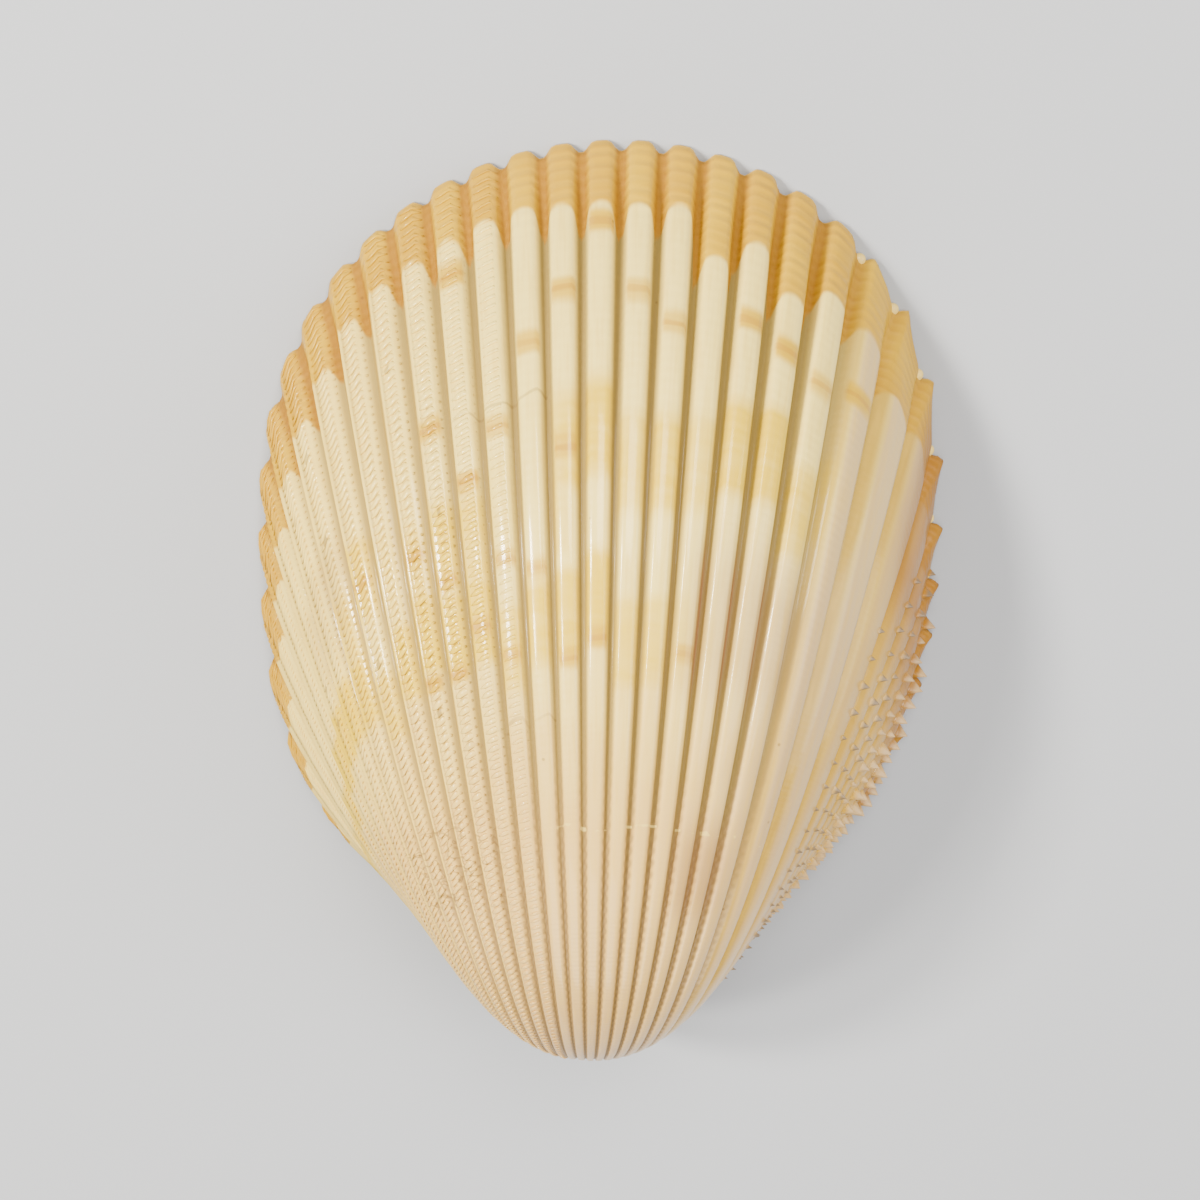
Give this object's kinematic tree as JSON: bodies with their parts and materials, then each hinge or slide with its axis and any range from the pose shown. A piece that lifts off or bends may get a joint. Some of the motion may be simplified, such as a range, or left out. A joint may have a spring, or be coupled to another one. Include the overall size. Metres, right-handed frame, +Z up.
{
  "type": "cockle shell valve",
  "caption": "One valve of a tall ribbed cockle shell: a strongly arched oval dome with radiating ribs, lying on its rim with the hollow side down.",
  "frame": {"origin": "in the plane of the rim, under the middle of the valve", "axes": "+Z up out of the dome, +Y from the beak towards the free edge, +X towards the scaly rear side"},
  "size_m": [0.0494, 0.0706, 0.0266],
  "materials": {
    "shell": "glossy ivory ribs, yellow bands, orange rim"
  },
  "bodies": {
    "root": {"valve": "shell"}
  },
  "joints": []
}
